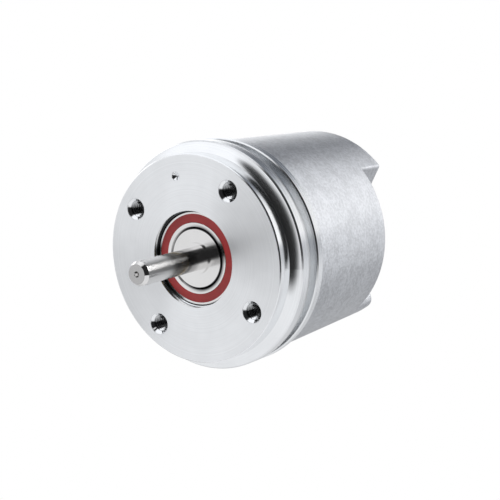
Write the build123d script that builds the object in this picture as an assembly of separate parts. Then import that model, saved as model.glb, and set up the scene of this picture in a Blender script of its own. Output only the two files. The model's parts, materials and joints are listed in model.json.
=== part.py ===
from build123d import *
from math import cos, radians, sin, tan
import os

# Absolute rotary encoder, 58 mm synchro flange, solid 6 mm shaft, multiturn gear train.
# Millimetres. The origin is the centre of the flange's front face. The shaft axis is Y:
# the shaft points to -Y, the connector to +Y, and +Z is up. Angles turn from +X to +Z.

# Flange
rim_radius = 29.0
spigot_radius = 26.25
spigot_length = 3.85
rim_front = 5.5
rim_rear = 9.0
groove_rear = 12.2
groove_radius = 26.5
flange_rear = 14.4
locating_length = 3.6
flange_edge = 0.3
bolt_circle_radius = 21.0
bolt_radius = 2.0
bolt_mouth_radius = 2.8
bolt_depth = 8.0
bolt_count = 4
pattern_roll = 13.8
dimple_radius = 1.2
dimple_depth = 1.1
hub_radius = 12.2
hub_rear = 25.0

# Bearings
press_gap = 0.01
face_recess = 1.65
recess_radius = 12.15
front_bore_radius = 7.5
front_ring_radius = 12.0
front_inner_land = 8.95
front_outer_land = 11.2
rear_bore_radius = 6.0
rear_ring_radius = 10.5
rear_inner_land = 7.25
rear_outer_land = 9.5
bearing_width = 5.0
rear_bearing_front = 17.0
ring_chamfer = 0.4
bore_chamfer = 0.5
ball_radius = 1.19
front_ball_count = 9
rear_ball_count = 7
ball_clearance = 0.02
raceway_half_width = 0.55
seal_step = 0.35
cage_thickness = 0.5
seal_thickness = 0.5
seal_recess = 0.1
seal_gap = 0.05
spring_height = 0.8
spring_thickness = 0.3
ring_groove_depth = 0.6
retaining_thickness = 1.0
retaining_opening = 40.0

# Shaft
shaft_radius = 3.0
shaft_reach = 21.3
tip_chamfer = 0.6
tip_chamfer_length = 1.0
centre_hole_radius = 0.75
centre_hole_depth = 2.2
root_ring_radius = 3.95
root_ring_length = 0.6
shoulder_radius = 8.5
shoulder_length = 1.8
middle_radius = 7.0
disc_seat_radius = 5.0
disc_seat_rear = 29.0
stub_radius = 1.0
shaft_ring_thickness = 0.8
shaft_ring_depth = 0.5

# Code disc and its reading head
hub_sleeve_radius = 6.4
hub_flange_radius = 9.5
hub_flange_thickness = 1.5
disc_front = 27.5
disc_thickness = 1.0
disc_radius = 17.0
disc_spigot_radius = 6.2
head_radius = 15.0
head_angle = 240.0
holder_size = 5.4
lens_radius = 1.9
lens_height = 1.4
light_well_depth = 2.5
reticle_gap = 0.5
reticle_thickness = 0.8
chip_thickness = 1.0
grub_radius = 1.0

# Stack of boards and gear plates
stack_radius = 20.0
stack_angles = (60.0, 140.0, 300.0)
column_flats = 4.0
screw_radius = 1.0
screw_clearance = 0.15
screw_head_radius = 1.9
screw_head_height = 1.5
screw_grip = 6.0
board_radius = 22.5
board_thickness = 1.6
board_bore = 6.5
plate_thickness = 1.0
foot_height = 0.8
magnet_sensor_height = 0.9
notch_clearance = 0.5

# Gear train
gear_module = 0.35
pinion_teeth = 12
wheel_teeth = 48
pressure_angle = 20.0
tooth_backlash = 0.09
wheel_width = 1.2
level_pitch = 1.75
plate_to_wheel = 0.4
first_gear_angle = 90.0
gear_step = 60.0
gear_count = 3
journal_radius = 1.0
journal_clearance = 0.05
magnet_radius = 2.5
magnet_height = 1.2
magnet_gap = 0.5

# Housing
housing_front_radius = 28.1
housing_rear_radius = 26.9
housing_wall = 2.6
pocket_floor = 49.0
housing_rear = 59.4
floor_thickness = 2.0
pocket_angle = -2.0
pocket_half_angle = 45.5
pocket_lean = 24.0
pocket_root_radius = 28.0
upper_corner_radius = 0.8
lower_corner_radius = 2.5
rear_edge = 1.0
floor_edge = 0.45
seal_groove_front = 15.4
seal_groove_width = 1.8
seal_cord_radius = 0.7
pillar_radius_from_axis = 20.3
pillar_radius = 2.75
housing_screw_radius = 1.5
housing_screw_length = 8.0
screw_socket_radius = 1.25
screw_socket_depth = 1.3
housing_head_radius = 2.75
housing_head_height = 3.0
washer_thickness = 0.5

# Connector
connector_thread_radius = 6.0
connector_bore_radius = 4.9
connector_flange_radius = 9.4
connector_flange_thickness = 2.5
connector_length = 9.5
neck_radius = 7.0
neck_clearance = 0.1
neck_inner_length = 4.0
nut_flats = 17.0
nut_height = 3.0
insert_radius = 5.5
insert_length = 7.0
pin_radius = 0.5
pin_circle_radius = 3.5
pin_count = 4
pin_reach = 8.1
connector_seal_radius = 8.2
connector_seal_cord = 0.5
ribbon_thickness = 0.3
ribbon_width = 7.0
ribbon_bend = 1.5
ribbon_drop = 9.0
ribbon_share = 12 / 13
socket_height = 1.6
socket_depth = 3.0

# Places along the shaft that follow from the sizes above
locating_rear = flange_rear + locating_length
locating_radius = housing_front_radius - housing_wall - 0.3
front_bearing_rear = face_recess + bearing_width
rear_bearing_rear = rear_bearing_front + bearing_width
spring_rear = rear_bearing_rear + spring_height
disc_rear = disc_front + disc_thickness
reticle_front = disc_rear + reticle_gap
chip_front = reticle_front + reticle_thickness
sensor_board_front = chip_front + chip_thickness
sensor_board_rear = sensor_board_front + board_thickness
front_plate_front = sensor_board_rear + foot_height
front_plate_rear = front_plate_front + plate_thickness
first_wheel_front = front_plate_rear + plate_to_wheel
rear_plate_front = first_wheel_front + (gear_count - 1) * level_pitch + wheel_width + plate_to_wheel
rear_plate_rear = rear_plate_front + plate_thickness
magnet_front = rear_plate_rear + plate_to_wheel
magnet_rear = magnet_front + magnet_height
magnet_sensor_front = magnet_rear + magnet_gap
main_board_front = magnet_sensor_front + magnet_sensor_height
main_board_rear = main_board_front + board_thickness
inner_floor = pocket_floor - floor_thickness
inner_rear = housing_rear - floor_thickness
gear_centre_distance = gear_module * (pinion_teeth + wheel_teeth) / 2
wall_inner_front = housing_front_radius - housing_wall
wall_inner_rear = housing_rear_radius - housing_wall


def turned(corners):
    """A solid of revolution about the shaft axis, from (radius, y) corners."""
    return revolve(make_face(Polyline(*corners, close=True)), Axis.Y)


def ring(inner, outer, front, rear):
    """A plain ring about the shaft axis."""
    return turned([(inner, front), (outer, front), (outer, rear), (inner, rear)])


def slab(sketch, front, rear):
    """A sketch in X and Z, given depth from front to rear along Y."""
    plane = Plane(origin=(0, front, 0), x_dir=(1, 0, 0), z_dir=(0, -1, 0))
    return extrude(plane * sketch, amount=front - rear)


def polar(radius, angle):
    """The point in X and Z at a radius and an angle."""
    return (radius * cos(radians(angle)), radius * sin(radians(angle)))


def disc_at(radius, centre, front, rear):
    """A plain round rod along Y."""
    return slab(Pos(*centre) * Circle(radius), front, rear)


def torus(ring_radius, cord_radius, y):
    """A round ring seal about the shaft axis."""
    section = Pos(ring_radius, y) * Circle(cord_radius)
    return revolve(section, Axis.Y)


def stack_places():
    return [polar(stack_radius, angle) for angle in stack_angles]


def pillar_places():
    return [polar(pillar_radius_from_axis, angle) for angle in pocket_angles()]


def gear_places():
    angles = [first_gear_angle - i * gear_step for i in range(gear_count)]
    return [polar(gear_centre_distance, angle) for angle in angles]


def flange():
    """The turned flange: spigot, rim, clamping groove, locating step and bearing hub."""
    edge = flange_edge
    body = turned([
        (0, 0),
        (spigot_radius - edge, 0),
        (spigot_radius, edge),
        (spigot_radius, spigot_length),
        (rim_radius - edge, rim_front - edge / 2),
        (rim_radius, rim_front + edge),
        (rim_radius, rim_rear - edge),
        (rim_radius - edge, rim_rear),
        (groove_radius, rim_rear),
        (groove_radius, groove_rear),
        (rim_radius - edge, groove_rear),
        (rim_radius, groove_rear + edge),
        (rim_radius, flange_rear),
        (locating_radius, flange_rear),
        (locating_radius, seal_groove_front),
        (seal_groove_floor(), seal_groove_front),
        (seal_groove_floor(), seal_groove_front + seal_groove_width),
        (locating_radius, seal_groove_front + seal_groove_width),
        (locating_radius, locating_rear),
        (hub_radius, locating_rear),
        (hub_radius, hub_rear),
        (0, hub_rear),
    ])
    body -= bearing_bore()
    for i in range(bolt_count):
        body -= bolt_hole(pattern_roll + 45 + i * 360 / bolt_count)
    body -= dimple()
    return body


def seal_groove_floor():
    return wall_inner_front - 2 * seal_cord_radius


def bearing_bore():
    """The stepped bore for the two bearings and the retaining ring."""
    front_seat = front_ring_radius + press_gap
    rear_seat = rear_ring_radius + press_gap
    middle = rear_outer_land + 0.1
    groove = rear_seat + ring_groove_depth
    groove_front = spring_rear
    groove_end = spring_rear + retaining_thickness
    return turned([
        (0, 0),
        (recess_radius, 0),
        (recess_radius, face_recess),
        (front_seat, face_recess),
        (front_seat, front_bearing_rear),
        (middle, front_bearing_rear),
        (middle, rear_bearing_front),
        (rear_seat, rear_bearing_front),
        (rear_seat, groove_front),
        (groove, groove_front),
        (groove, groove_end),
        (rear_seat, groove_end),
        (rear_seat, hub_rear),
        (0, hub_rear),
    ])


def drilled(corners, centre):
    """A turned tool moved from the shaft axis to a centre in X and Z."""
    return Pos(centre[0], 0, centre[1]) * turned(corners)


def bolt_hole(angle):
    """A blind hole for a fixing screw, with a countersunk mouth and a drill point."""
    flare = bolt_mouth_radius - bolt_radius
    corners = [
        (0, 0),
        (bolt_mouth_radius, 0),
        (bolt_radius, flare),
        (bolt_radius, bolt_depth),
        (0, bolt_depth + bolt_radius / 2),
    ]
    return drilled(corners, polar(bolt_circle_radius, angle))


def dimple():
    """The centre-punched mark at the top of the bolt circle."""
    corners = [(0, 0), (dimple_radius, 0), (0, dimple_depth)]
    return drilled(corners, polar(bolt_circle_radius, pattern_roll + 90))


def bearing_outer_ring(pitch, outer, land, front):
    """An outer ring with a trapezoid raceway and a step for each seal."""
    rear = front + bearing_width
    middle = (front + rear) / 2
    race = pitch + ball_radius + ball_clearance
    lip = land - seal_step
    half = raceway_half_width
    step = seal_recess + seal_thickness
    return turned([
        (land, front),
        (outer - ring_chamfer, front),
        (outer, front + ring_chamfer),
        (outer, rear - ring_chamfer),
        (outer - ring_chamfer, rear),
        (land, rear),
        (land, rear - step),
        (lip, rear - step),
        (lip, middle + 2 * half),
        (race, middle + half),
        (race, middle - half),
        (lip, middle - 2 * half),
        (lip, front + step),
        (land, front + step),
    ])


def bearing_inner_ring(pitch, bore, land, front):
    """An inner ring with a trapezoid raceway."""
    rear = front + bearing_width
    middle = (front + rear) / 2
    race = pitch - ball_radius - ball_clearance
    half = raceway_half_width
    return turned([
        (bore + bore_chamfer, front),
        (land, front),
        (land, middle - 2 * half),
        (race, middle - half),
        (race, middle + half),
        (land, middle + 2 * half),
        (land, rear),
        (bore + bore_chamfer, rear),
        (bore, rear - bore_chamfer),
        (bore, front + bore_chamfer),
    ])


def bearing_seals(inner_land, outer, front):
    """The two seal rings that close a bearing, fixed in the outer ring."""
    inner = inner_land + seal_gap
    first = front + seal_recess
    last = front + bearing_width - seal_recess
    return [
        ring(inner, outer, first, first + seal_thickness),
        ring(inner, outer, last - seal_thickness, last),
    ]


def bearing_balls(pitch, count, front):
    """The balls of a bearing, as separate solids."""
    middle = front + bearing_width / 2
    balls = []
    for i in range(count):
        x, z = polar(pitch, i * 360 / count)
        balls.append(Pos(x, middle, z) * Sphere(ball_radius))
    return balls


def bearing_cage(pitch, count, front):
    """A thin cage ring with a round pocket for each ball."""
    middle = front + bearing_width / 2
    half = ball_radius + cage_thickness
    cage = ring(pitch - cage_thickness / 2, pitch + cage_thickness / 2, middle - half, middle + half)
    for i in range(count):
        pocket = Cylinder(ball_radius + ball_clearance, 4 * cage_thickness, rotation=(0, 90, 0))
        cage -= Rot(0, -i * 360 / count, 0) * Pos(pitch, middle, 0) * pocket
    return cage


def preload_spring():
    """A conical washer that pushes the rear bearing forwards."""
    outer = rear_ring_radius - 0.1
    inner = rear_outer_land
    return turned([
        (outer, rear_bearing_rear),
        (outer, rear_bearing_rear + spring_thickness),
        (inner, spring_rear),
        (inner, spring_rear - spring_thickness),
    ])


def retaining_ring():
    """The open ring that snaps into the groove behind the rear bearing."""
    front = spring_rear
    rear = spring_rear + retaining_thickness
    outer = rear_ring_radius + ring_groove_depth - 0.1
    inner = rear_ring_radius - 1.5
    body = ring(inner, outer, front, rear)
    gap = [(0, 0), polar(2 * outer, -retaining_opening / 2), polar(2 * outer, retaining_opening / 2)]
    body -= slab(make_face(Polyline(*gap, close=True)), front, rear)
    for side in (-1, 1):
        lug_centre = polar(inner + 0.1, side * (retaining_opening / 2 + 7))
        body += disc_at(1.0, lug_centre, front, rear)
        body -= disc_at(0.45, lug_centre, front, rear)
    return body


def rotor_shaft():
    """The stepped shaft: output end, collar, bearing seats, disc seat and gear stub."""
    root = face_recess - root_ring_length
    groove_floor = rear_bore_radius - shaft_ring_depth
    groove_end = rear_bearing_rear + shaft_ring_thickness
    body = turned([
        (0, -shaft_reach),
        (shaft_radius - tip_chamfer, -shaft_reach),
        (shaft_radius, -shaft_reach + tip_chamfer_length),
        (shaft_radius, root),
        (root_ring_radius, root),
        (root_ring_radius, face_recess),
        (front_bore_radius - press_gap - 0.15, face_recess),
        (front_bore_radius - press_gap, face_recess + 0.15),
        (front_bore_radius - press_gap, front_bearing_rear),
        (shoulder_radius, front_bearing_rear),
        (shoulder_radius, front_bearing_rear + shoulder_length),
        (middle_radius, front_bearing_rear + shoulder_length + 2),
        (middle_radius, rear_bearing_front),
        (rear_bore_radius - press_gap, rear_bearing_front),
        (rear_bore_radius - press_gap, rear_bearing_rear),
        (groove_floor, rear_bearing_rear),
        (groove_floor, groove_end),
        (rear_bore_radius - press_gap, groove_end),
        (rear_bore_radius - press_gap, groove_end + 0.5),
        (disc_seat_radius, groove_end + 0.5),
        (disc_seat_radius, disc_seat_rear),
        (stub_radius, disc_seat_rear),
        (stub_radius, pinion_rear()),
        (0, pinion_rear()),
    ])
    hole = turned([
        (0, -shaft_reach),
        (centre_hole_radius, -shaft_reach),
        (centre_hole_radius / 2, -shaft_reach + centre_hole_radius),
        (0, -shaft_reach + centre_hole_depth),
    ])
    return body - hole


def pinion_rear():
    return first_wheel_front + wheel_width + 0.1


def shaft_retaining_ring():
    """The open ring in the shaft groove behind the rear bearing's inner ring."""
    inner = rear_bore_radius - shaft_ring_depth + 0.05
    outer = rear_bore_radius + 0.8
    body = ring(inner, outer, rear_bearing_rear, rear_bearing_rear + shaft_ring_thickness)
    opening = Pos(0, -outer) * Rectangle(2 * disc_seat_radius, outer)
    return body - slab(opening, rear_bearing_rear, rear_bearing_rear + shaft_ring_thickness)


def disc_hub():
    """The collar that carries the code disc on the shaft."""
    front = rear_bearing_rear + shaft_ring_thickness + 0.6
    bore = disc_seat_radius + press_gap
    body = turned([
        (bore, front),
        (hub_sleeve_radius, front),
        (hub_sleeve_radius, disc_front - hub_flange_thickness),
        (hub_flange_radius, disc_front - hub_flange_thickness),
        (hub_flange_radius, disc_front),
        (disc_spigot_radius, disc_front),
        (disc_spigot_radius, disc_rear),
        (bore, disc_rear),
    ])
    for hole in hub_screws(grub_radius + 0.02, 2.0):
        body -= hole
    return body


def hub_screws(radius=grub_radius, extra=0.0):
    """Two grub screws that clamp the collar on the shaft; extra lengthens them to cut their holes."""
    front = rear_bearing_rear + shaft_ring_thickness + 0.6
    y = (front + disc_front - hub_flange_thickness) / 2
    length = hub_sleeve_radius - disc_seat_radius - 0.1 + extra
    middle = (hub_sleeve_radius + disc_seat_radius) / 2
    screw = Pos(middle, y, 0) * Cylinder(radius, length, rotation=(0, 90, 0))
    return [screw, Rot(0, 120, 0) * screw]


def code_disc():
    """The glass disc that carries the code tracks."""
    return ring(disc_spigot_radius + 0.03, disc_radius, disc_front, disc_rear)


def reading_head_place():
    return Pos(*polar(head_radius, head_angle)) * Rot(0, 0, head_angle)


def light_source_holder():
    """The block on the flange that holds the light source under the disc."""
    rear = disc_front - hub_flange_thickness - lens_height
    block = slab(reading_head_place() * RectangleRounded(holder_size, holder_size, 1.0), locating_rear, rear)
    well = disc_at(lens_radius / 2, polar(head_radius, head_angle), rear - light_well_depth, rear)
    return block - well


def light_source():
    """The light-emitting diode in the holder's well."""
    rear = disc_front - hub_flange_thickness - lens_height
    centre = polar(head_radius, head_angle)
    return disc_at(lens_radius / 2 - 0.1, centre, rear - light_well_depth, rear - 0.6)


def collimator_lens():
    """A flat-backed lens on the holder."""
    front = disc_front - hub_flange_thickness - lens_height
    corners = [
        (0, front),
        (lens_radius, front),
        (lens_radius, front + lens_height * 0.3),
        (lens_radius * 0.7, front + lens_height * 0.8),
        (0, front + lens_height),
    ]
    return drilled(corners, polar(head_radius, head_angle))


def sensor_reticle():
    place = reading_head_place()
    return slab(place * Rectangle(holder_size, holder_size - 2), reticle_front, chip_front)


def sensor_chip():
    place = reading_head_place()
    return slab(place * Rectangle(holder_size + 1, holder_size), chip_front, sensor_board_front)


def stack_outline():
    """The round outline of boards and plates, notched for the housing pillars."""
    outline = Circle(board_radius)
    for x, z in pillar_places():
        outline -= Pos(x, z) * Circle(pillar_radius + notch_clearance)
    for x, z in stack_places():
        outline -= Pos(x, z) * Circle(screw_radius + screw_clearance)
    return outline


def sensor_board():
    """The ring-shaped board with the reading head."""
    return slab(stack_outline() - Circle(board_bore), sensor_board_front, sensor_board_rear)


def column(front, rear):
    """Hexagonal columns at the three stack places."""
    return [
        slab(Pos(x, z) * RegularPolygon(column_flats / 2, 6, major_radius=False), front, rear)
        for x, z in stack_places()
    ]


def tube_column(front, rear):
    """Hexagonal tubes that let the stack screws through."""
    hole = screw_radius + screw_clearance
    return [
        part - disc_at(hole, place, front, rear)
        for part, place in zip(column(front, rear), stack_places())
    ]


def board_standoffs():
    """Columns screwed into the flange, with a threaded end for the stack screws."""
    hole_front = sensor_board_front - screw_grip
    return [
        part - disc_at(screw_radius + 0.01, place, hole_front, sensor_board_front)
        for part, place in zip(column(locating_rear, sensor_board_front), stack_places())
    ]


def stack_screws():
    """Long screws that clamp the boards and gear plates together."""
    screws = []
    for place in stack_places():
        shank = disc_at(screw_radius, place, sensor_board_front - screw_grip + 0.5, main_board_rear)
        head = disc_at(screw_head_radius, place, main_board_rear, main_board_rear + screw_head_height)
        slot = Pos(*place) * Rectangle(2.4, 0.5)
        slot_front = main_board_rear + screw_head_height - 0.6
        screws.append(shank + head - slab(slot, slot_front, main_board_rear + screw_head_height))
    return screws


def journal_holes(front, rear):
    radius = journal_radius + journal_clearance
    return [disc_at(radius, place, front, rear) for place in gear_places()]


def gear_front_plate():
    """The plate in front of the gears, standing on three feet."""
    plate = slab(stack_outline(), front_plate_front, front_plate_rear)
    for part in tube_column(sensor_board_rear, front_plate_front):
        plate += part
    plate -= disc_at(3.4, (0, 0), front_plate_front, front_plate_rear)
    for hole in journal_holes(front_plate_front, front_plate_rear):
        plate -= hole
    return plate


def gear_rear_plate():
    """The plate behind the gears."""
    plate = slab(stack_outline(), rear_plate_front, rear_plate_rear)
    for hole in journal_holes(rear_plate_front, rear_plate_rear):
        plate -= hole
    return plate


def gear_outline(teeth, tooth_angle):
    """A gear with straight-sided teeth, one of them centred at tooth_angle."""
    pitch_radius = gear_module * teeth / 2
    slope = tan(radians(pressure_angle))
    half = gear_module * 3.14159 / 4 - tooth_backlash / 2
    addendum = 0.95 * gear_module
    dedendum = 1.25 * gear_module
    tip_half = (half - addendum * slope) / (pitch_radius + addendum)
    root_half = (half + 0.5 * dedendum * slope) / (pitch_radius - dedendum)
    points = []
    for i in range(teeth):
        centre = radians(tooth_angle + i * 360 / teeth)
        for radius, offset in (
            (pitch_radius - dedendum, -root_half),
            (pitch_radius + addendum, -tip_half),
            (pitch_radius + addendum, tip_half),
            (pitch_radius - dedendum, root_half),
        ):
            points.append((radius * cos(centre + offset), radius * sin(centre + offset)))
    return make_face(Polyline(*points, close=True))


def shaft_pinion():
    """The pinion pressed on the end of the shaft."""
    front = first_wheel_front - 0.2
    teeth = slab(gear_outline(pinion_teeth, first_gear_angle), front, pinion_rear())
    sleeve = disc_at(1.6, (0, 0), disc_seat_rear + 0.5, front)
    return teeth + sleeve - disc_at(stub_radius + press_gap, (0, 0), disc_seat_rear, pinion_rear())


def code_gear(index):
    """A wheel, its pinion and its two journals, turned in one piece."""
    centre = gear_places()[index]
    angle = first_gear_angle - index * gear_step
    back_angle = angle + 180 if index == 0 else angle + 120
    wheel_front = first_wheel_front + index * level_pitch
    wheel_rear = wheel_front + wheel_width
    half_pitch = 180 / wheel_teeth
    wheel = slab(Pos(*centre) * gear_outline(wheel_teeth, back_angle + half_pitch), wheel_front, wheel_rear)
    journal = disc_at(journal_radius, centre, front_plate_front + 0.2, magnet_front)
    collar_rear = rear_plate_front - 0.2
    collar = disc_at(1.5, centre, front_plate_rear + 0.2, collar_rear)
    gear = wheel + journal + collar
    if index < gear_count - 1:
        next_angle = angle - 120
        pinion = Pos(*centre) * gear_outline(pinion_teeth, next_angle)
        gear += slab(pinion, wheel_rear, wheel_front + level_pitch + wheel_width)
    return gear


def gear_magnet(index):
    """The magnet glued on the rear end of a gear's journal."""
    return disc_at(magnet_radius, gear_places()[index], magnet_front, magnet_rear)


def magnet_sensors():
    """A sensor chip on the main board behind each magnet."""
    return [
        slab(Pos(*place) * Rectangle(4.0, 4.0), magnet_sensor_front, main_board_front)
        for place in gear_places()
    ]


def main_board():
    """The round board with the magnet sensors and the bus electronics."""
    return slab(stack_outline(), main_board_front, main_board_rear)


def board_chips():
    """The processor, line driver and voltage converter on the main board."""
    sizes = ((-8.0, 8.0, 8.0, 8.0, 1.2), (8.0, 10.0, 6.0, 5.0, 1.4), (-10.0, -6.0, 5.0, 7.0, 1.3))
    return [
        slab(Pos(x, z) * Rectangle(width, height), main_board_rear, main_board_rear + depth)
        for x, z, width, height, depth in sizes
    ]


def pocket_angles():
    return (pocket_angle, pocket_angle + 180)


def pocket_sketch(side_angle, grow=0.0):
    """The wide V of a rear pocket, with a round root; grow moves its walls into the raised part."""
    half = radians(pocket_half_angle)
    lean = radians(pocket_lean)
    apex = housing_rear_radius * (cos(half) - sin(half) * tan(lean)) - grow / cos(lean)
    reach = 2 * housing_front_radius
    corners = [
        (apex, 0),
        (apex + reach * sin(lean), reach * cos(lean)),
        (apex + reach * sin(lean) + reach, 0),
        (apex + reach * sin(lean), -reach * cos(lean)),
    ]
    wedge = make_face(Polyline(*corners, close=True))
    root = wedge.vertices().sort_by(Axis.X)[0]
    return Rot(0, 0, side_angle) * fillet(root, pocket_root_radius + grow)


def housing_radius(y):
    """The outer radius of the tapered housing."""
    taper = (housing_rear_radius - housing_front_radius) / (housing_rear - flange_rear)
    return housing_front_radius + (y - flange_rear) * taper


def housing():
    """The cast housing: a tapered cup with a pocket on each side of its raised rear face."""
    body = turned([
        (0, flange_rear),
        (housing_front_radius - flange_edge, flange_rear),
        (housing_radius(flange_rear + flange_edge), flange_rear + flange_edge),
        (housing_radius(pocket_floor), pocket_floor),
        (0, pocket_floor),
    ])
    rim = body.edges().filter_by_position(Axis.Y, pocket_floor - 0.01, pocket_floor + 0.01)
    body = fillet(rim, floor_edge) + raised_part()
    body -= housing_hollow()
    for place in pillar_places():
        body -= disc_at(housing_screw_radius + screw_clearance, place, inner_floor, pocket_floor)
    body -= disc_at(neck_radius + neck_clearance, (0, 0), inner_rear, housing_rear)
    return body


def raised_part():
    """What stands beyond the two pocket floors, with rounded corners and a rounded rear edge."""
    root = pocket_floor - floor_edge
    body = turned([(0, root), (housing_radius(root), root), (housing_rear_radius, housing_rear), (0, housing_rear)])
    for angle in pocket_angles():
        body -= slab(pocket_sketch(angle), root, housing_rear)
    for side, radius in ((1, upper_corner_radius), (-1, lower_corner_radius)):
        corners = [corner_edge(body, angle + side * pocket_half_angle) for angle in pocket_angles()]
        body = fillet(corners, radius)
    rear_outline = body.edges().filter_by_position(Axis.Y, housing_rear - 0.01, housing_rear + 0.01)
    return fillet(rear_outline, rear_edge)


def corner_edge(body, angle):
    """The edge where a pocket wall meets the outside of the housing at an angle."""
    x, z = polar(housing_rear_radius, angle)
    middle = Vector(x, (pocket_floor + housing_rear) / 2, z)
    return min(body.edges(), key=lambda edge: (edge.center() - middle).length)


def housing_hollow():
    """The space inside the housing, deeper under the raised rear face."""
    inner_end = wall_inner_front + (inner_floor - flange_rear) * slope_of_wall()
    deep_end = wall_inner_front + (inner_rear - flange_rear) * slope_of_wall()
    hollow = turned([
        (0, flange_rear),
        (wall_inner_front, flange_rear),
        (wall_inner_front, locating_rear),
        (inner_end, inner_floor),
        (0, inner_floor),
    ])
    deep = turned([(0, inner_floor), (inner_end, inner_floor), (deep_end, inner_rear), (0, inner_rear)])
    for angle in pocket_angles():
        deep -= slab(pocket_sketch(angle, floor_thickness), inner_floor, inner_rear)
    return hollow + deep


def slope_of_wall():
    return (wall_inner_rear - wall_inner_front) / (housing_rear - flange_rear)


def housing_seal():
    """The ring seal between the flange and the housing."""
    middle = seal_groove_front + seal_groove_width / 2
    return torus(seal_groove_floor() + seal_cord_radius, seal_cord_radius - 0.02, middle)


def housing_pillars():
    """Two pillars on the flange that the housing screws pull against."""
    hole_front = pocket_floor + washer_thickness - housing_screw_length - 1
    return [
        disc_at(pillar_radius, place, locating_rear, inner_floor)
        - disc_at(housing_screw_radius + 0.01, place, hole_front, inner_floor)
        for place in pillar_places()
    ]


def housing_screws():
    """Two socket-head screws in the rear pockets."""
    screws = []
    head_front = pocket_floor + washer_thickness
    head_rear = head_front + housing_head_height
    for place in pillar_places():
        screw = disc_at(housing_screw_radius, place, head_front - housing_screw_length, head_front)
        screw += disc_at(housing_head_radius, place, head_front, head_rear)
        socket = Pos(*place) * RegularPolygon(screw_socket_radius, 6, major_radius=False)
        screws.append(screw - slab(socket, head_rear - screw_socket_depth, head_rear))
    return screws


def screw_washers():
    """A sealing washer under each housing screw."""
    return [
        disc_at(housing_head_radius, place, pocket_floor, pocket_floor + washer_thickness)
        - disc_at(housing_screw_radius + screw_clearance, place, pocket_floor, pocket_floor + washer_thickness)
        for place in pillar_places()
    ]


def neck_front():
    return inner_rear - neck_inner_length


def connector_body():
    """The round plug connector: neck, flange and threaded shell, open to the rear."""
    flange_end = housing_rear + connector_flange_thickness
    shell_rear = flange_end + connector_length
    seal_inner = connector_seal_radius - connector_seal_cord
    seal_outer = connector_seal_radius + connector_seal_cord
    seal_depth = housing_rear + 2 * connector_seal_cord - 0.1
    bore = insert_radius + 0.05
    return turned([
        (bore, neck_front()),
        (neck_radius, neck_front()),
        (neck_radius, housing_rear),
        (seal_inner, housing_rear),
        (seal_inner, seal_depth),
        (seal_outer, seal_depth),
        (seal_outer, housing_rear),
        (connector_flange_radius, housing_rear),
        (connector_flange_radius, flange_end),
        (connector_thread_radius, flange_end),
        (connector_thread_radius, shell_rear - 0.4),
        (connector_thread_radius - 0.4, shell_rear),
        (connector_bore_radius, shell_rear),
        (connector_bore_radius, flange_end),
        (bore, flange_end),
    ])


def connector_seal():
    """The ring seal under the connector's flange."""
    y = housing_rear + connector_seal_cord - 0.05
    return torus(connector_seal_radius, connector_seal_cord - 0.05, y)


def connector_nut():
    """The nut that holds the connector inside the housing."""
    sketch = RegularPolygon(nut_flats / 2, 6, major_radius=False) - Circle(neck_radius + press_gap)
    return slab(sketch, inner_rear - nut_height, inner_rear)


def connector_pin_places():
    return [(0, 0)] + [polar(pin_circle_radius, 45 + i * 360 / pin_count) for i in range(pin_count)]


def insert_front():
    return housing_rear + connector_flange_thickness - insert_length


def socket_rear():
    return main_board_rear + socket_height


def pin_front():
    """The front ends of the pins, most of the way from the board's socket to the connector's neck."""
    return socket_rear() + ribbon_share * (neck_front() - socket_rear())


def connector_insert():
    """The contact carrier, with a raised face inside the shell."""
    flange_end = housing_rear + connector_flange_thickness
    body = turned([
        (0, insert_front()),
        (insert_radius, insert_front()),
        (insert_radius, flange_end),
        (connector_bore_radius - 0.1, flange_end),
        (connector_bore_radius - 0.1, flange_end + 1),
        (0, flange_end + 1),
    ])
    for place in connector_pin_places():
        body -= disc_at(pin_radius, place, insert_front(), flange_end + 1)
    return body


def connector_pins():
    """The contact pins, from the ribbon cable to the plug."""
    flange_end = housing_rear + connector_flange_thickness
    return [
        disc_at(pin_radius, place, pin_front(), flange_end + pin_reach)
        for place in connector_pin_places()
    ]


def ribbon_cable():
    """The flat cable from the connector pins to the main board."""
    middle = pin_front() - ribbon_thickness / 2
    leg = middle - socket_rear()
    path = FilletPolyline(
        (0, middle, pin_circle_radius + 1),
        (0, middle, -ribbon_drop),
        (0, socket_rear(), -ribbon_drop),
        radius=min(ribbon_bend, 0.8 * leg),
    )
    start = Plane(origin=path @ 0, z_dir=path % 0)
    across = Rectangle(ribbon_width, ribbon_thickness)
    if abs(start.x_dir.X) < 0.5:
        across = Rectangle(ribbon_thickness, ribbon_width)
    return sweep(start * across, path=path)


def board_socket():
    """The socket on the main board that the ribbon cable plugs into."""
    block = Pos(0, -ribbon_drop) * Rectangle(ribbon_width + 2, socket_depth)
    return slab(block, main_board_rear, socket_rear())


def solids_of(shape):
    """Every solid of a shape or of a list of shapes."""
    if isinstance(shape, (list, tuple)):
        return [solid for item in shape for solid in solids_of(item)]
    return list(shape.solids())


def bearing_nodes(name, bore, outer, inner_land, outer_land, count, front):
    """The five pieces of a sealed ball bearing."""
    pitch = (bore + outer) / 2
    return {
        name + "_outer_ring": bearing_outer_ring(pitch, outer, outer_land, front),
        name + "_inner_ring": bearing_inner_ring(pitch, bore, inner_land, front),
        name + "_seals": bearing_seals(inner_land, outer_land, front),
        name + "_cage": bearing_cage(pitch, count, front),
        name + "_balls": bearing_balls(pitch, count, front),
    }


def gear_nodes():
    nodes = {}
    for index, name in enumerate(("first_gear", "second_gear", "third_gear")):
        nodes[name] = code_gear(index)
        nodes[name + "_magnet"] = gear_magnet(index)
    return nodes


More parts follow.
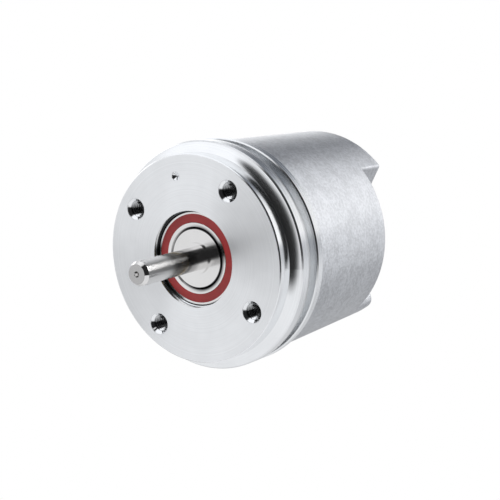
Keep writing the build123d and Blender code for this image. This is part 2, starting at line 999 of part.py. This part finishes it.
def all_nodes():
    nodes = {
        "flange": flange(),
        "rotor_shaft": rotor_shaft(),
        "preload_spring": preload_spring(),
        "bearing_retaining_ring": retaining_ring(),
        "shaft_retaining_ring": shaft_retaining_ring(),
        "disc_hub": disc_hub(),
        "disc_hub_screws": hub_screws(),
        "code_disc": code_disc(),
        "light_source_holder": light_source_holder(),
        "light_source": light_source(),
        "collimator_lens": collimator_lens(),
        "sensor_reticle": sensor_reticle(),
        "sensor_chip": sensor_chip(),
        "sensor_board": sensor_board(),
        "board_standoffs": board_standoffs(),
        "gear_front_plate": gear_front_plate(),
        "gear_pillars": tube_column(front_plate_rear, rear_plate_front),
        "gear_rear_plate": gear_rear_plate(),
        "board_spacers": tube_column(rear_plate_rear, main_board_front),
        "stack_screws": stack_screws(),
        "shaft_pinion": shaft_pinion(),
        "magnet_sensors": magnet_sensors(),
        "main_board": main_board(),
        "main_board_chips": board_chips(),
        "board_socket": board_socket(),
        "ribbon_cable": ribbon_cable(),
        "housing": housing(),
        "housing_seal": housing_seal(),
        "housing_pillars": housing_pillars(),
        "housing_screws": housing_screws(),
        "screw_washers": screw_washers(),
        "connector_body": connector_body(),
        "connector_seal": connector_seal(),
        "connector_nut": connector_nut(),
        "connector_insert": connector_insert(),
        "connector_pins": connector_pins(),
    }
    nodes.update(bearing_nodes(
        "front_bearing", front_bore_radius, front_ring_radius,
        front_inner_land, front_outer_land, front_ball_count, face_recess,
    ))
    nodes.update(bearing_nodes(
        "rear_bearing", rear_bore_radius, rear_ring_radius,
        rear_inner_land, rear_outer_land, rear_ball_count, rear_bearing_front,
    ))
    nodes.update(gear_nodes())
    return nodes


os.makedirs("parts", exist_ok=True)
for node_name, shape in all_nodes().items():
    export_step(Compound(children=solids_of(shape)), os.path.join("parts", node_name + ".step"))
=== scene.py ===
import json
import bmesh
import bpy
from math import cos, pi, radians, sin
from mathutils import Matrix, Vector


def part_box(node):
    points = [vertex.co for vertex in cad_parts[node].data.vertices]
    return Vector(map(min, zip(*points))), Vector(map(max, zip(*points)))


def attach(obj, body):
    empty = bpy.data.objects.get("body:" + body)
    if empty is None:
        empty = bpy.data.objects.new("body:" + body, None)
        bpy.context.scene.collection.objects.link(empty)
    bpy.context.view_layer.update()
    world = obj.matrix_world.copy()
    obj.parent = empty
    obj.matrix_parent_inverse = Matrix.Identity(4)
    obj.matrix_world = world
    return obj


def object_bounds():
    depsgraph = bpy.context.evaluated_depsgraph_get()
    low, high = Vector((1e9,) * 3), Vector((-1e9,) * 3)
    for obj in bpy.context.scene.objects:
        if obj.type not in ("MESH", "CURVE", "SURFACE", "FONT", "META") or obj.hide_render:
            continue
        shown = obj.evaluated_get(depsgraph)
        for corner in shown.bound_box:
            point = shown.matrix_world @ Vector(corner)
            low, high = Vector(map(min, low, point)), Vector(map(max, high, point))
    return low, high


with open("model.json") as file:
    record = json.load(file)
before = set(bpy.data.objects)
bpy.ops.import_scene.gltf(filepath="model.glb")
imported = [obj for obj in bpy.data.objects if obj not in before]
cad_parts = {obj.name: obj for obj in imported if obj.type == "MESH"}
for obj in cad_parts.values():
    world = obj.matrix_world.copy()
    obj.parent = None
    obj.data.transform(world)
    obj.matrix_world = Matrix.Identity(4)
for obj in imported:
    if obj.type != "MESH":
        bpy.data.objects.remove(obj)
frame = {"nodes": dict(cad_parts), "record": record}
cad_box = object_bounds()
millimetre = 0.001

# Camera, fitted to the photograph: angles in degrees, places in metres, lens and sensor in millimetres
camera_azimuth = 35.083
camera_elevation = 11.13
camera_distance = 0.30997
camera_aside = 0.014256
camera_raised = 0.00239
camera_lens = 90.42
camera_sensor = 36
camera_near = 0.01
camera_far = 100

# Floor and studio
floor_size = 30.0
floor_gap = 0.0002
floor_white = 1.0

# Soft lights behind the object: name, angle from +X to +Z, width, power,
# nodes that catch it and nodes that block it
casting = ("housing",)
bearing_face = (
    "rotor_shaft", "front_bearing_inner_ring", "front_bearing_seals", "front_bearing_outer_ring",
)
soft_lights = (
    ("right_casting_light", 48.0, 1.0, 2.0, casting, casting),
    ("low_casting_light", -10.0, 0.40, 0.42, casting, casting),
    ("top_casting_light", 182.0, 0.5, 1.15, casting, casting),
    ("right_shaft_light", 42.0, 0.46, 14.0, ("rotor_shaft",), bearing_face),
    ("top_shaft_light", 170.0, 0.35, 9.0, ("rotor_shaft",), bearing_face),
)
soft_light_distance = 1.0
soft_light_length = 0.6
soft_light_slope = 1.35

# Threads, on the walls that the frame's mounts give: a root is sunk in its wall and a crest stands
# off it by the height. The pattern's roll is in degrees.
mounts = {mount["name"]: mount["dims"] for mount in frame["record"]["mounts"]}
bolt_circle_radius = mounts["flange_bolts"]["pcd_mm"] / 2 * millimetre
bolt_hole_radius = mounts["flange_bolts"]["hole_r_mm"] * millimetre
bolt_count = mounts["flange_bolts"]["count"]
pattern_roll = 13.8
bolt_thread_sunk = 0.02 * millimetre
bolt_thread_height = 0.32 * millimetre
bolt_thread_pitch = 0.7 * millimetre
bolt_thread_front = 0.75 * millimetre
bolt_thread_rear = 7.6 * millimetre
connector_radius = mounts["connector_thread"]["r_mm"] * millimetre
connector_thread_sunk = 0.03 * millimetre
connector_thread_height = 0.12 * millimetre
connector_thread_pitch = 1.0 * millimetre
connector_thread_chamfer = 0.6 * millimetre
connector_thread_length = 8.5 * millimetre

# A thread's ridge: points in a turn, half widths as shares of the pitch and of the root's,
# the turns over which its ends fade out, and the least width there
ridge_steps = 36
ridge_root_half = 0.46
ridge_crest_half = 0.15
ridge_fade_turns = 1 / 3
ridge_least = 0.05

# Colours that several finishes share, and the span that most values of a noise fill
shadow_colour = (0.02, 0.02, 0.022)
bright_steel = (0.80, 0.79, 0.78)
noise_low = 0.3
noise_high = 0.7

# The casting's grain and clouds per millimetre, the grain's share of the tone, where the tone starts
# and is full, how dark and light it gets, and the relief in millimetres
casting_grain = 1.3
casting_clouds = 0.25
casting_grain_share = 0.75
casting_tone = (0.36, 0.64)
casting_uneven = (0.84, 1.19)
casting_relief = 0.06

# Turned metal's patches per millimetre, and the turn that lays its streaks across the tool marks
turned_patches = 0.12
quarter_turn = 0.25

# How dark and light plain metal gets, the patches of rubber and plastic per millimetre,
# and for glass its index, the dust per millimetre, and the dust's tone and roughness
metal_uneven = (0.93, 1.05)
moulded_patches = 0.4
glass_index = 1.52
dust_specks = 1.5
dust_tone = (0.3, 0.8)
dust_rough = (0.4, 0.8, 0.02, 0.08)

# Painted shade in the flange's metal, inside the threaded holes and at the foot of the bearing's recess:
# where it starts and is full in millimetres, and how dark
edge_blend = 0.1
hole_edge = (2.25, 2.10)
hole_crest = (1.95, 1.70)
hole_dark = (0.45, 0.9)
hole_foot = (-0.9, -1.5)
hole_head = (0.7, 1.8)
hole_shade = 0.95
hole_crest_shade = 0.62
hole_foot_share = 0.0
hole_head_share = 0.6
recess_edge = 12.2
recess_dark = (0.3, 1.5)
recess_foot = (-11.5, -6.0)
recess_shade = 0.85

# Painted shade on the bearing, a painted dark reflection on the shaft root and a darker shaft end: where
# a band starts, is full, fades and ends, and how dark it is
front_only = (4.0, 3.0)
gap_line = (7.25, 7.42, 7.88, 8.15)
gap_side = (-6.0, 1.0)
gap_shade = (0.55, 0.95)
ring_dark = (7.45, 7.55, 7.9, 8.8)
ring_side = (-4.0, 3.0)
ring_shade = 0.85
outer_line = (11.65, 11.85)
outer_shade = 0.8
shaft_edge = 3.1
root_dark = (-14.0, -8.0, -3.0, 0.0)
root_shade = 0.45
end_dark = (-21.2, -21.28)
end_shade = 0.40

# The flange's cone between the centring spigot and the rim, in millimetres,
# and how rough the cone, the spigot's side and the face are
cone_blend = 0.05
cone_inner = 26.25
cone_outer = 28.7
cone_low = 26.9
cone_curve = 0.09
cone_ends = (8.0, 9.0)
cone_rough = 0.16
side_ends = (0.05, 0.15, 3.55, 3.7)
side_rough = 0.10
face_ends = (0.15, 0.05)
face_rough = 0.45

# Brightness of the studio behind the flange, round the shaft axis:
# angle from +X to +Z, light, lean to blue
studio_cards = (
    (-180, 0.85, 0.01), (-140, 0.55, 0.02), (-118, 0.70, 0.02), (-98, 0.74, 0.02), (-60, 0.66, 0.03),
    (-20, 0.84, 0.03), (-4, 0.60, 0.05), (4, 0.60, 0.05), (16, 1.10, 0.01), (46, 1.06, 0.01),
    (63, 0.86, 0.03), (80, 0.30, 0.12), (102, 0.12, 0.18), (120, 0.20, 0.12), (142, 0.62, 0.04),
    (160, 1.9, 0.01), (180, 1.0, 0.01),
)
front_light = 0.90
front_blue = 0.02
front_starts = 0.32
front_full = 0.08

# Places in front of the object, one bright and four dark: centre, full to, gone by, light
place_blue = 0.03
front_places = (
    (Vector((-0.50, -0.40, 0.75)).normalized(), 26.0, 42.0, 1.10),
    (Vector((0.00, -0.80, 0.60)).normalized(), 9.0, 18.0, 0.02),
    (Vector((0.35, -0.78, 0.50)).normalized(), 20.0, 32.0, 0.02),
    (Vector((0.58, -0.76, 0.20)).normalized(), 28.0, 42.0, 0.02),
    (Vector((0.80, -0.20, 0.57)).normalized(), 38.0, 49.0, 0.02),
)


def make_camera():
    azimuth = radians(camera_azimuth)
    elevation = radians(camera_elevation)
    away = Vector((sin(azimuth) * cos(elevation), -cos(azimuth) * cos(elevation), sin(elevation)))
    aside = Vector((cos(azimuth), sin(azimuth), 0))
    data = bpy.data.cameras.new("camera")
    data.sensor_width = camera_sensor
    data.lens = camera_lens
    data.clip_start = camera_near
    data.clip_end = camera_far
    camera = bpy.data.objects.new("camera", data)
    bpy.context.scene.collection.objects.link(camera)
    camera.location = away * camera_distance + aside * camera_aside + Vector((0, 0, camera_raised))
    turn = Matrix((aside, away.cross(aside), away)).transposed()
    camera.rotation_euler = turn.to_euler()
    bpy.context.scene.camera = camera


def add(tree, kind, values=None, **settings):
    """Adds a node; values holds its input constants or the outputs that feed them."""
    made = tree.nodes.new(kind)
    for key, value in settings.items():
        setattr(made, key, value)
    for key, value in (values or {}).items():
        if isinstance(value, bpy.types.NodeSocket):
            tree.links.new(value, made.inputs[key])
        else:
            made.inputs[key].default_value = value
    return made


def math(tree, operation, first, second=0.0):
    return add(tree, "ShaderNodeMath", {0: first, 1: second}, operation=operation).outputs[0]


def remap(tree, value, low, high, to_low=0.0, to_high=1.0, smooth=True):
    kind = "SMOOTHSTEP" if smooth else "LINEAR"
    values = {"Value": value, "From Min": low, "From Max": high, "To Min": to_low, "To Max": to_high}
    return add(tree, "ShaderNodeMapRange", values, interpolation_type=kind).outputs["Result"]


def blend(tree, share, first, second):
    """A colour that goes from the first to the second as the share goes from 0 to 1."""
    made = add(tree, "ShaderNodeMix", {"Factor": share, "A": first, "B": second}, data_type="RGBA")
    return made.outputs["Result"]


def band(tree, value, start, full, fade, end):
    """1 where a value lies between full and fade, 0 outside start and end."""
    rise = remap(tree, value, start, full)
    fall = remap(tree, value, fade, end, 1.0, 0.0)
    return math(tree, "MULTIPLY", rise, fall)


def ramp(tree, value, stops):
    made = add(tree, "ShaderNodeValToRGB", {"Fac": value})
    made.color_ramp.interpolation = "EASE"
    points = made.color_ramp.elements
    while len(points) < len(stops):
        points.new(0.5)
    for point, (place, colour) in zip(points, stops):
        point.position = place
        point.color = (*colour, 1)
    return made.outputs["Color"]


def grey(value, blue=0.0):
    """A grey that leans to blue by a share of itself."""
    return (value * (1 - blue), value * (1 - blue / 2), value * (1 + blue / 2))


def make_world():
    """White to the camera. Behind the flange, long cards of light and dark lie along the shaft
    axis. In front it is evenly light, apart from a bright place and four dark ones."""
    world = bpy.data.worlds.new("studio")
    bpy.context.scene.world = world
    world.use_nodes = True
    tree = world.node_tree
    tree.nodes.clear()
    direction = add(tree, "ShaderNodeTexCoord").outputs["Generated"]
    split = add(tree, "ShaderNodeSeparateXYZ", {0: direction})
    angle = math(tree, "ARCTAN2", split.outputs["Z"], split.outputs["X"])
    turn = remap(tree, angle, -pi, pi, smooth=False)
    stops = [((place + 180) / 360, grey(light, blue)) for place, light, blue in studio_cards]
    cards = ramp(tree, turn, stops)
    in_front = remap(tree, split.outputs["Y"], front_starts, front_full)
    light = blend(tree, in_front, cards, (*grey(front_light, front_blue), 1))
    for centre, full, end, strength in front_places:
        facing = add(tree, "ShaderNodeVectorMath", {0: direction, 1: centre}, operation="DOT_PRODUCT")
        shade = remap(tree, facing.outputs["Value"], cos(radians(end)), cos(radians(full)))
        light = blend(tree, shade, light, (*grey(strength, place_blue), 1))
    around = add(tree, "ShaderNodeBackground", {"Color": light, "Strength": 1.0})
    white = add(tree, "ShaderNodeBackground", {"Color": (1, 1, 1, 1), "Strength": 1.0})
    seen = add(tree, "ShaderNodeLightPath").outputs["Is Camera Ray"]
    both = add(tree, "ShaderNodeMixShader", {0: seen, 1: around.outputs[0], 2: white.outputs[0]})
    output = add(tree, "ShaderNodeOutputWorld")
    tree.links.new(both.outputs[0], output.inputs["Surface"])


def make_floor():
    """A plain white sweep under the object, bright enough to hold no shadow."""
    low = cad_box[0].z - floor_gap
    mesh = bpy.data.meshes.new("floor")
    half = floor_size / 2
    corners = [(-half, -half, low), (half, -half, low), (half, half, low), (-half, half, low)]
    mesh.from_pydata(corners, [], [(0, 1, 2, 3)])
    floor = bpy.data.objects.new("floor", mesh)
    bpy.context.scene.collection.objects.link(floor)
    material = bpy.data.materials.new("floor_white")
    material.use_nodes = True
    tree = material.node_tree
    tree.nodes.clear()
    glow = add(tree, "ShaderNodeEmission", {"Color": (1, 1, 1, 1), "Strength": floor_white})
    output = add(tree, "ShaderNodeOutputMaterial")
    tree.links.new(glow.outputs[0], output.inputs["Surface"])
    mesh.materials.append(material)
    floor.visible_glossy = False
    floor.visible_diffuse = False


def linked_nodes(name, nodes):
    linked = bpy.data.collections.new(name)
    for node in nodes:
        linked.objects.link(frame["nodes"][node])
    return linked


def make_soft_light(name, angle, width, power, catchers, blockers):
    """A long soft light behind the object, at an angle round its axis, that only some nodes catch."""
    data = bpy.data.lights.new(name, "AREA")
    data.shape = "RECTANGLE"
    data.size = width
    data.size_y = soft_light_length
    data.energy = power
    light = bpy.data.objects.new(name, data)
    bpy.context.scene.collection.objects.link(light)
    away = Vector((cos(radians(angle)), soft_light_slope, sin(radians(angle)))).normalized()
    aside = Vector((-sin(radians(angle)), 0, cos(radians(angle))))
    light.location = away * soft_light_distance
    light.rotation_euler = Matrix((aside, away.cross(aside), away)).transposed().to_euler()
    light.light_linking.receiver_collection = linked_nodes(name + "_catchers", catchers)
    light.light_linking.blocker_collection = linked_nodes(name + "_blockers", blockers)


def new_material(name):
    material = bpy.data.materials.new(name)
    material.use_nodes = True
    tree = material.node_tree
    tree.nodes.clear()
    surface = add(tree, "ShaderNodeBsdfPrincipled")
    output = add(tree, "ShaderNodeOutputMaterial")
    tree.links.new(surface.outputs["BSDF"], output.inputs["Surface"])
    return material, tree, surface


def in_millimetres(tree):
    place = add(tree, "ShaderNodeTexCoord").outputs["Object"]
    scaled = add(tree, "ShaderNodeVectorMath", {0: place, "Scale": 1 / millimetre}, operation="SCALE")
    return scaled.outputs["Vector"]


def noise(tree, place, per_millimetre, detail=3.0, rough=0.55):
    values = {"Vector": place, "Scale": per_millimetre, "Detail": detail, "Roughness": rough}
    return add(tree, "ShaderNodeTexNoise", values).outputs["Fac"]


def length_across(tree, x, z):
    flat = add(tree, "ShaderNodeCombineXYZ", {"X": x, "Z": z})
    return add(tree, "ShaderNodeVectorMath", {0: flat.outputs[0]}, operation="LENGTH").outputs["Value"]


def radius_and_depth(tree, place):
    """The distance from the shaft axis and the distance behind the flange's face."""
    split = add(tree, "ShaderNodeSeparateXYZ", {0: place})
    return length_across(tree, split.outputs["X"], split.outputs["Z"]), split.outputs["Y"]


def tool_path(tree, place):
    """How far a turning tool has gone: outwards on a face, along the axis on a cylinder."""
    radius, depth = radius_and_depth(tree, place)
    return math(tree, "ADD", radius, depth)


def turning_marks(tree, place, per_millimetre):
    """Rings left by the tool: noise along its path only."""
    path = math(tree, "MULTIPLY", tool_path(tree, place), per_millimetre)
    values = {"W": path, "Scale": 1.0, "Detail": 4.0, "Roughness": 0.7}
    return add(tree, "ShaderNodeTexNoise", values, noise_dimensions="1D").outputs["Fac"]


def bump(tree, height, depth):
    """Relief of a real depth in millimetres."""
    values = {"Height": height, "Distance": depth * millimetre, "Strength": 1.0}
    return add(tree, "ShaderNodeBump", values)


def uneven_colour(tree, value, colour, darker, lighter, low=noise_low, high=noise_high):
    """A colour made darker where a noise is low and lighter where it is high."""
    dark = tuple(c * darker for c in colour)
    light = tuple(min(1.0, c * lighter) for c in colour)
    return ramp(tree, value, [(low, dark), (high, light)])


def uneven_rough(tree, value, rough, spread=0.15):
    """A roughness that goes down and up by a share of itself with a noise."""
    return remap(tree, value, noise_low, noise_high, rough * (1 - spread), rough * (1 + spread))


def recess_shadow(tree, place):
    """Painted shade at the foot of the bearing's recess, lighter towards the bottom of the flange."""
    radius, depth = radius_and_depth(tree, place)
    height = add(tree, "ShaderNodeSeparateXYZ", {0: place}).outputs["Z"]
    within = remap(tree, radius, recess_edge + edge_blend, recess_edge)
    within = math(tree, "MULTIPLY", within, remap(tree, height, *recess_foot))
    return math(tree, "MULTIPLY", within, remap(tree, depth, *recess_dark, 0.0, recess_shade))


def hole_shadow(tree, place):
    """Painted shade inside the four threaded holes, lighter on the crests, at the top and at the foot."""
    turned = add(tree, "ShaderNodeVectorRotate", {"Vector": place, "Angle": radians(pattern_roll)},
                 rotation_type="Y_AXIS")
    split = add(tree, "ShaderNodeSeparateXYZ", {0: turned.outputs[0]})
    centre = bolt_circle_radius / millimetre * sin(radians(45))
    aside = math(tree, "SUBTRACT", math(tree, "ABSOLUTE", split.outputs["X"]), centre)
    side = math(tree, "MULTIPLY", math(tree, "SIGN", split.outputs["Z"]), centre)
    above = math(tree, "SUBTRACT", split.outputs["Z"], side)
    across = length_across(tree, aside, above)
    inside = remap(tree, across, *hole_edge)
    crest = remap(tree, across, *hole_crest, hole_shade, hole_crest_shade)
    deep = remap(tree, split.outputs["Y"], *hole_dark)
    foot = remap(tree, above, *hole_foot, 1.0, hole_foot_share)
    head = remap(tree, above, *hole_head, 1.0, hole_head_share)
    dark = math(tree, "MULTIPLY", math(tree, "MULTIPLY", inside, crest), deep)
    return math(tree, "MULTIPLY", math(tree, "MULTIPLY", dark, foot), head)


# Painted shade in the threaded holes and at the foot of the bearing's recess
def flange_shadow(tree, place):
    return math(tree, "MAXIMUM", hole_shadow(tree, place), recess_shadow(tree, place))


def dished_cone(tree, place):
    """The hollow that a round tool leaves in the cone in front of the rim, as a height in millimetres."""
    radius, depth = radius_and_depth(tree, place)
    held = math(tree, "MINIMUM", math(tree, "MAXIMUM", radius, cone_inner), cone_outer)
    off = math(tree, "SUBTRACT", held, cone_low)
    before_rim = remap(tree, depth, *cone_ends, 1.0, 0.0, smooth=False)
    curve = math(tree, "MULTIPLY", before_rim, cone_curve)
    return math(tree, "MULTIPLY", math(tree, "MULTIPLY", off, off), curve)


def on_cone(tree, place):
    radius = radius_and_depth(tree, place)[0]
    rise = (cone_inner - 2 * cone_blend, cone_inner - cone_blend)
    return band(tree, radius, *rise, cone_outer - cone_blend, cone_outer + cone_blend)


def bearing_shadow(tree, place):
    """Painted shade: dark lines where the collar meets the inner ring, deeper to the right, and where the
    outer ring meets the flange, and an inner ring darker to the right. Also a painted dark reflection on
    the shaft root, and a darker shaft end."""
    radius, depth = radius_and_depth(tree, place)
    right = add(tree, "ShaderNodeSeparateXYZ", {0: place}).outputs["X"]
    gap = math(tree, "MULTIPLY", band(tree, radius, *gap_line), remap(tree, right, *gap_side, *gap_shade))
    to_right = remap(tree, right, *ring_side, 0.0, ring_shade)
    ring = math(tree, "MULTIPLY", band(tree, radius, *ring_dark), to_right)
    outer = remap(tree, radius, *outer_line, 0.0, outer_shade)
    lines = math(tree, "MAXIMUM", math(tree, "MAXIMUM", gap, ring), outer)
    lines = math(tree, "MULTIPLY", lines, remap(tree, depth, *front_only))
    on_shaft = remap(tree, radius, shaft_edge + edge_blend, shaft_edge)
    root = math(tree, "MULTIPLY", on_shaft, band(tree, depth, *root_dark))
    root = math(tree, "MULTIPLY", root, root_shade)
    end_face = remap(tree, depth, *end_dark, 0.0, end_shade)
    return math(tree, "MAXIMUM", lines, math(tree, "MAXIMUM", root, end_face))


def turned_metal(name, colour, rough, streak, mark_scale, mark_depth, stain=0.05, shadow=None):
    """Metal turned about the shaft axis: highlights stretch across the tool marks."""
    material, tree, surface = new_material(name)
    place = in_millimetres(tree)
    marks = turning_marks(tree, place, mark_scale)
    patches = noise(tree, place, turned_patches, detail=2.0)
    tone = math(tree, "ADD", math(tree, "MULTIPLY", marks, 0.5), math(tree, "MULTIPLY", patches, 0.5))
    shade = uneven_colour(tree, tone, colour, 1 - stain, 1 + stain)
    # Painted shade and painted reflection, wherever the given shadow function puts them
    if shadow:
        shade = blend(tree, shadow(tree, place), shade, (*shadow_colour, 1))
    tree.links.new(shade, surface.inputs["Base Color"])
    tree.links.new(uneven_rough(tree, marks, rough, spread=0.1), surface.inputs["Roughness"])
    surface.inputs["Metallic"].default_value = 1.0
    surface.inputs["Anisotropic"].default_value = streak
    surface.inputs["Anisotropic Rotation"].default_value = quarter_turn
    tangent = add(tree, "ShaderNodeTangent", direction_type="RADIAL", axis="Y")
    tree.links.new(tangent.outputs[0], surface.inputs["Tangent"])
    relief = bump(tree, marks, mark_depth)
    tree.links.new(relief.outputs[0], surface.inputs["Normal"])
    return material


def flange_metal():
    """The flange's turned aluminium: a matt face, painted shade in the holes and the recess, and a fine,
    dished cone before the rim.
    """
    material = turned_metal(
        "machined_aluminium", (0.88, 0.89, 0.90), rough=0.27, streak=0.75, mark_scale=3.0,
        mark_depth=0.002, shadow=flange_shadow,
    )
    tree = material.node_tree
    surface = next(node for node in tree.nodes if node.type == "BSDF_PRINCIPLED")
    place = in_millimetres(tree)
    rough = surface.inputs["Roughness"].links[0].from_socket
    finer = add(tree, "ShaderNodeMix", {"Factor": on_cone(tree, place), "A": rough, "B": cone_rough})
    depth = radius_and_depth(tree, place)[1]
    on_side = band(tree, depth, *side_ends)
    sides = add(tree, "ShaderNodeMix", {"Factor": on_side, "A": finer.outputs["Result"], "B": side_rough})
    on_face = remap(tree, depth, *face_ends)
    values = {"Factor": on_face, "A": sides.outputs["Result"], "B": face_rough}
    tree.links.new(add(tree, "ShaderNodeMix", values).outputs["Result"], surface.inputs["Roughness"])
    marks = surface.inputs["Normal"].links[0].from_socket
    dished = bump(tree, dished_cone(tree, place), 1.0)
    tree.links.new(marks, dished.inputs["Normal"])
    tree.links.new(dished.outputs[0], surface.inputs["Normal"])
    return material


def blasted_casting(name, colour, rough):
    """Die-cast aluminium after bead blasting: fine even dimples and a faint cloudiness."""
    material, tree, surface = new_material(name)
    place = in_millimetres(tree)
    grain = noise(tree, place, casting_grain, detail=4.0, rough=0.65)
    clouds = noise(tree, place, casting_clouds)
    fine = math(tree, "MULTIPLY", grain, casting_grain_share)
    tone = math(tree, "ADD", fine, math(tree, "MULTIPLY", clouds, 1 - casting_grain_share))
    shade = uneven_colour(tree, tone, colour, *casting_uneven, *casting_tone)
    tree.links.new(shade, surface.inputs["Base Color"])
    tree.links.new(uneven_rough(tree, grain, rough, spread=0.1), surface.inputs["Roughness"])
    surface.inputs["Metallic"].default_value = 1.0
    relief = bump(tree, grain, casting_relief)
    tree.links.new(relief.outputs[0], surface.inputs["Normal"])
    return material


def plain_metal(name, colour, rough, grain_scale=4.0, depth=0.004):
    material, tree, surface = new_material(name)
    place = in_millimetres(tree)
    grain = noise(tree, place, grain_scale)
    tree.links.new(uneven_colour(tree, grain, colour, *metal_uneven), surface.inputs["Base Color"])
    tree.links.new(uneven_rough(tree, grain, rough), surface.inputs["Roughness"])
    surface.inputs["Metallic"].default_value = 1.0
    tree.links.new(bump(tree, grain, depth).outputs[0], surface.inputs["Normal"])
    return material


def moulded(name, colour, rough, grain_scale=5.0, depth=0.01, variation=0.08):
    """Rubber or plastic: even colour with a fine moulded texture."""
    material, tree, surface = new_material(name)
    place = in_millimetres(tree)
    grain = noise(tree, place, grain_scale)
    patches = noise(tree, place, moulded_patches)
    shade = uneven_colour(tree, patches, colour, 1 - variation, 1 + variation)
    tree.links.new(shade, surface.inputs["Base Color"])
    tree.links.new(uneven_rough(tree, grain, rough), surface.inputs["Roughness"])
    tree.links.new(bump(tree, grain, depth).outputs[0], surface.inputs["Normal"])
    return material


def clear_glass(name, colour):
    material, tree, surface = new_material(name)
    place = in_millimetres(tree)
    dust = noise(tree, place, dust_specks)
    tint = ramp(tree, dust, list(zip(dust_tone, (colour, (1, 1, 1)))))
    tree.links.new(tint, surface.inputs["Base Color"])
    tree.links.new(remap(tree, dust, *dust_rough), surface.inputs["Roughness"])
    surface.inputs["Transmission Weight"].default_value = 1.0
    surface.inputs["IOR"].default_value = glass_index
    return material


def slot_materials():
    """One finish for each material slot of the record."""
    return {
        "machined_aluminium": flange_metal(),
        "cast_aluminium": blasted_casting("cast_aluminium", (0.52, 0.53, 0.55), 0.42),
        "shaft_steel": turned_metal(
            "shaft_steel", bright_steel, rough=0.16, streak=0.5, mark_scale=4.0, mark_depth=0.001,
            stain=0.03, shadow=bearing_shadow,
        ),
        "bearing_steel": turned_metal(
            "bearing_steel", bright_steel, rough=0.16, streak=0.3, mark_scale=4.0, mark_depth=0.001,
            stain=0.03, shadow=bearing_shadow,
        ),
        "red_seal": moulded("red_seal", (0.48, 0.03, 0.03), 0.42),
        "black_rubber": moulded("black_rubber", (0.025, 0.025, 0.026), 0.6),
        "spring_steel": plain_metal("spring_steel", (0.32, 0.32, 0.34), 0.45),
        "hub_aluminium": turned_metal(
            "hub_aluminium", (0.82, 0.82, 0.84), rough=0.3, streak=0.4, mark_scale=3.0,
            mark_depth=0.002,
        ),
        "code_glass": clear_glass("code_glass", (0.80, 0.86, 0.88)),
        "lens_glass": clear_glass("lens_glass", (0.93, 0.95, 0.98)),
        "holder_plastic": moulded("holder_plastic", (0.035, 0.035, 0.037), 0.5),
        "board_laminate": moulded("board_laminate", (0.02, 0.17, 0.07), 0.35),
        "chip_plastic": moulded("chip_plastic", (0.025, 0.025, 0.028), 0.55),
        "gear_brass": plain_metal("gear_brass", (0.78, 0.60, 0.30), 0.28),
        "magnet_grey": plain_metal("magnet_grey", (0.35, 0.35, 0.37), 0.4),
        "screw_steel": plain_metal("screw_steel", (0.66, 0.65, 0.64), 0.25),
        "nickel_brass": plain_metal("nickel_brass", (0.74, 0.71, 0.66), 0.2),
        "insert_plastic": moulded("insert_plastic", (0.03, 0.03, 0.032), 0.45),
        "contact_gold": plain_metal("contact_gold", (0.90, 0.68, 0.28), 0.2),
        "ribbon_plastic": moulded("ribbon_plastic", (0.50, 0.26, 0.06), 0.3),
    }


def dress_nodes(finishes):
    for node in frame["nodes"].values():
        for slot in node.material_slots:
            slot.material = finishes[slot.material.name.split(".")[0]]


def thread_ridge(name, root, crest, pitch, front, rear, centre, material):
    """A screw thread as one helical ridge about a line along Y, from root radius to crest radius."""
    count = int((rear - front) / pitch * ridge_steps)
    fade_steps = ridge_steps * ridge_fade_turns
    half = pitch * ridge_root_half
    rings = []
    for i in range(count + 1):
        turn = i / ridge_steps
        middle = front + turn * pitch
        fade = min(1.0, i / fade_steps, (count - i) / fade_steps)
        angle = 2 * pi * turn
        crest_now = root + (crest - root) * fade
        crest_half = half * ridge_crest_half
        width = max(fade, ridge_least)
        section = ((root, -half), (crest_now, -crest_half), (crest_now, crest_half), (root, half))
        rings.append([
            (centre[0] + r * cos(angle), middle + along * width, centre[1] + r * sin(angle))
            for r, along in section
        ])
    points = [point for ring in rings for point in ring]
    faces = []
    for i in range(count):
        for j in range(4):
            a = i * 4 + j
            b = i * 4 + (j + 1) % 4
            faces.append((a, b, b + 4, a + 4))
    last = count * 4
    faces.append((3, 2, 1, 0))
    faces.append((last, last + 1, last + 2, last + 3))
    mesh = bpy.data.meshes.new(name)
    mesh.from_pydata(points, [], faces)
    shaped = bmesh.new()
    shaped.from_mesh(mesh)
    bmesh.ops.recalc_face_normals(shaped, faces=shaped.faces)
    shaped.to_mesh(mesh)
    shaped.free()
    mesh.materials.append(material)
    piece = bpy.data.objects.new(name, mesh)
    bpy.context.scene.collection.objects.link(piece)
    return piece


def make_bolt_threads(finishes):
    root = bolt_hole_radius + bolt_thread_sunk
    crest = bolt_hole_radius - bolt_thread_height
    for i in range(bolt_count):
        angle = radians(pattern_roll + 45 + i * 360 / bolt_count)
        centre = (bolt_circle_radius * cos(angle), bolt_circle_radius * sin(angle))
        piece = thread_ridge(
            f"bolt_thread_{i + 1}", root, crest, bolt_thread_pitch,
            bolt_thread_front, bolt_thread_rear, centre, finishes["machined_aluminium"],
        )
        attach(piece, "base")


def make_connector_thread(finishes):
    """The outside thread of the plug connector, up to its chamfered mouth."""
    low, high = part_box("connector_body")
    centre = ((low.x + high.x) / 2, (low.z + high.z) / 2)
    rear = high.y - connector_thread_chamfer - connector_thread_pitch / 2
    front = high.y - connector_thread_length
    root = connector_radius - connector_thread_sunk
    crest = connector_radius + connector_thread_height
    piece = thread_ridge(
        "connector_thread", root, crest, connector_thread_pitch, front, rear, centre,
        finishes["nickel_brass"],
    )
    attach(piece, "base")


bpy.context.scene.view_settings.view_transform = "Standard"
make_camera()
make_world()
make_floor()
for light in soft_lights:
    make_soft_light(*light)
finishes = slot_materials()
dress_nodes(finishes)
frame["nodes"]["front_bearing_seals"].visible_glossy = False
make_bolt_threads(finishes)
make_connector_thread(finishes)
